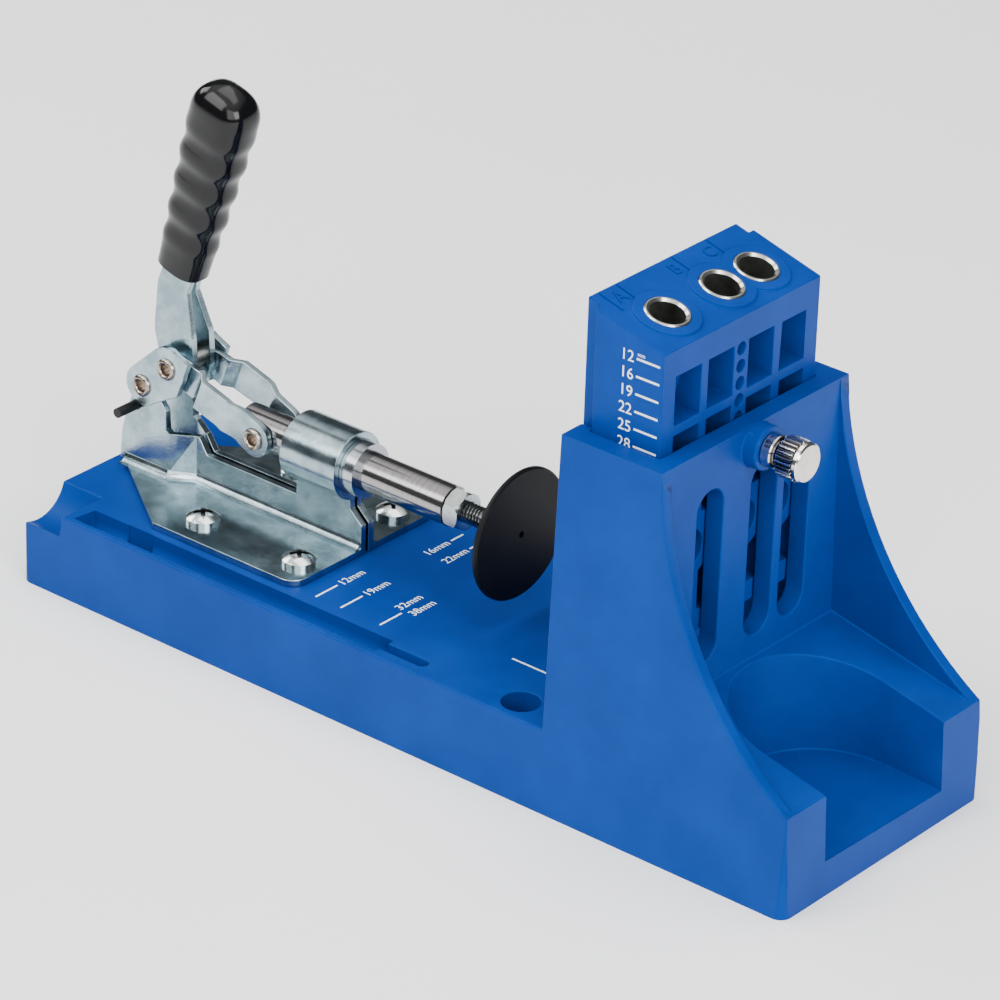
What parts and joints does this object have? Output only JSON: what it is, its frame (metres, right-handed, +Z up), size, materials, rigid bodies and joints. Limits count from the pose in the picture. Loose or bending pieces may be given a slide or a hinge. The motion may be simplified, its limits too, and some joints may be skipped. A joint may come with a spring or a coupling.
{
  "type": "pocket hole jig",
  "caption": "Pocket hole drilling jig: moulded base with chip cup, tower with height-set drill guide and steel bushes, and a push toggle clamp with round pad.",
  "frame": {"origin": "middle of the base's foot, on the surface it stands on", "axes": "+X from the clamp end to the chip cup, +Y away from the bit gauge groove, +Z up"},
  "size_m": [0.262, 0.084, 0.1453],
  "materials": {
    "blue_plastic": "satin moulded",
    "guide_plastic": "satin moulded",
    "plated_sheet": "zinc plated",
    "turned_steel": "turned",
    "plated_hardware": "zinc plated",
    "bush_steel": "ground",
    "rivet_steel": "rolled heads",
    "nickel_knob": "knurled nickel",
    "black_steel": "black oxide",
    "insert_brass": "machined",
    "black_vinyl": "dipped gloss",
    "black_pad": "matt"
  },
  "bodies": {
    "base": {"base_moulding": "blue_plastic", "clamp_frame": "plated_sheet", "plunger_bush": "turned_steel", "frame_screws": "plated_hardware", "frame_nuts": "plated_hardware", "stop_pin": "black_steel", "thumb_screw_insert": "insert_brass"},
    "handle": {"handle_strap": "plated_sheet", "cheek_plate_near": "plated_sheet", "cheek_plate_far": "plated_sheet", "handle_grip": "black_vinyl", "pivot_rivet": "rivet_steel", "crank_rivet": "rivet_steel", "crank_spacer": "rivet_steel"},
    "plunger": {"plunger_rod": "turned_steel", "plunger_rivet": "rivet_steel"},
    "links": {"link_near": "plated_sheet", "link_far": "plated_sheet"},
    "spindle": {"spindle_bolt": "plated_hardware", "pressure_pad": "black_pad"},
    "lock_nut": {"lock_nut": "plated_hardware"},
    "guide": {"guide_block": "guide_plastic", "guide_bush_a": "bush_steel", "guide_bush_b": "bush_steel", "guide_bush_c": "bush_steel"},
    "thumb_screw": {"thumb_screw": "nickel_knob"}
  },
  "joints": [
    {"name": "handle_swing", "type": "hinge", "parent": "base", "child": "handle", "pos_m": [-0.1169, 0, 0.052], "axis": [0, 1, 0], "range_deg": [-28, 46]},
    {"name": "plunger_slide", "type": "slide", "parent": "base", "child": "plunger", "axis": [1, 0, 0], "range_m": [-0.0036, 0.0058]},
    {"name": "link_swing", "type": "hinge", "parent": "plunger", "child": "links", "pos_m": [-0.07734, 0, 0.0488], "axis": [0, 1, 0], "range_deg": [-14.2, 8.8]},
    {"name": "spindle_reach", "type": "slide", "parent": "plunger", "child": "spindle", "axis": [1, 0, 0], "range_m": [-0.0095, 0.012]},
    {"name": "lock_nut_turn", "type": "hinge", "parent": "plunger", "child": "lock_nut", "pos_m": [-0.0103, 0, 0.0488], "axis": [1, 0, 0], "continuous": true},
    {"name": "guide_height", "type": "slide", "parent": "base", "child": "guide", "axis": [0, 0, 1], "range_m": [-0.024, 0.0144]},
    {"name": "thumb_screw_turn", "type": "hinge", "parent": "base", "child": "thumb_screw", "pos_m": [0.0882, 0, 0.1013], "axis": [1, 0, 0], "continuous": true}
  ],
  "couplings": [
    {"joint": "plunger_slide", "follows": "handle_swing", "m_per_rad": 0.0069},
    {"joint": "link_swing", "follows": "handle_swing", "ratio": -0.3}
  ]
}
